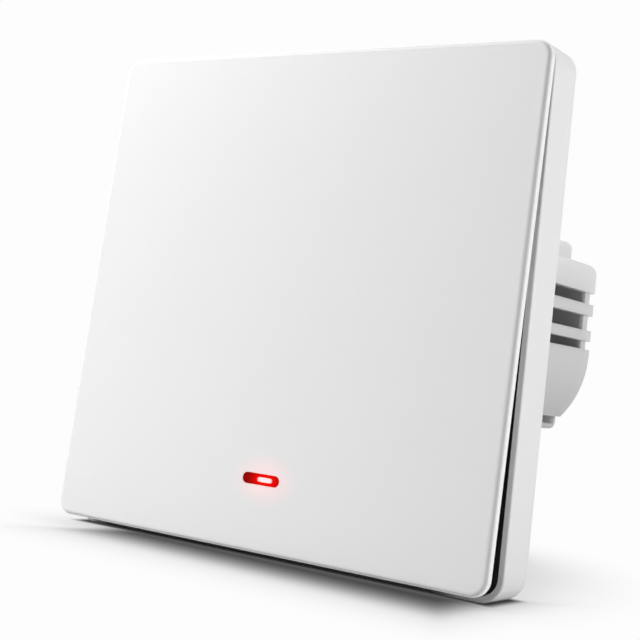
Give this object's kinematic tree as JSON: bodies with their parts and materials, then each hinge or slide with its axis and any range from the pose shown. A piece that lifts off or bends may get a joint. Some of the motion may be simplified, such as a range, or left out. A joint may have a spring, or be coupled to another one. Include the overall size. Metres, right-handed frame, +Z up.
{
  "type": "smart push wall switch",
  "caption": "Square white push-panel wall switch, tilted on a top hinge, with a red indicator window and a radio relay module behind the wall plate.",
  "frame": {"origin": "centre of the wall plane, midway between the two wall screws, on the rear face of the plate frame", "axes": "+Y into the wall, +X to the right of a person facing the switch, +Z up"},
  "size_m": [0.086, 0.044, 0.086],
  "materials": {
    "white_gloss": "satin white",
    "white_matte": "fine matte",
    "red_guide": "translucent red",
    "dark_plastic": "fine matte",
    "black_plastic": "fine matte",
    "grey_plastic": "fine matte",
    "yoke_steel": "zinc plated",
    "spring_steel": "bright",
    "brass": "bright",
    "board_green": "solder mask",
    "board_blue": "solder mask",
    "relay_blue": "satin",
    "core_iron": "dull",
    "coil_yellow": "tape",
    "capacitor_foil": "sleeve",
    "varistor_blue": "dipped",
    "resistor_green": "dull",
    "film_yellow": "moulded"
  },
  "bodies": {
    "base": {"outer_frame": "white_gloss", "carrier": "dark_plastic", "mounting_yoke": "yoke_steel", "front_housing": "white_matte", "rear_housing": "white_matte", "switch_body": "black_plastic", "return_spring_left": "spring_steel", "return_spring_right": "spring_steel", "status_led": "red_guide", "control_board": "board_green", "board_spacers": "grey_plastic", "radio_board": "board_blue", "radio_shield": "yoke_steel", "header_base": "black_plastic", "header_pins": "brass", "power_board": "board_green", "relay": "relay_blue", "transformer_core": "core_iron", "transformer_coil": "coil_yellow", "capacitor": "capacitor_foil", "varistor": "varistor_blue", "fuse_resistor": "resistor_green", "film_capacitor": "film_yellow", "terminal_block": "black_plastic", "terminal_clamps": "brass", "terminal_screws": "spring_steel", "carrier_screws": "spring_steel"},
    "panel": {"push_panel": "white_gloss", "light_guide": "red_guide"},
    "plunger": {"switch_plunger": "grey_plastic"}
  },
  "joints": [
    {"name": "panel_hinge", "type": "hinge", "parent": "base", "child": "panel", "pos_m": [0, -0.00591, 0.0385], "axis": [1, 0, 0], "range_deg": [0, 2.2], "stiffness_Nm_per_rad": 1.5, "springref_deg": -2.86, "deforming": ["return_spring_left", "return_spring_right"]},
    {"name": "plunger_slide", "type": "slide", "parent": "base", "child": "plunger", "axis": [0, 1, 0], "range_m": [0, 0.0016]}
  ],
  "couplings": [
    {"joint": "plunger_slide", "follows": "panel_hinge", "m_per_rad": 0.04109}
  ]
}
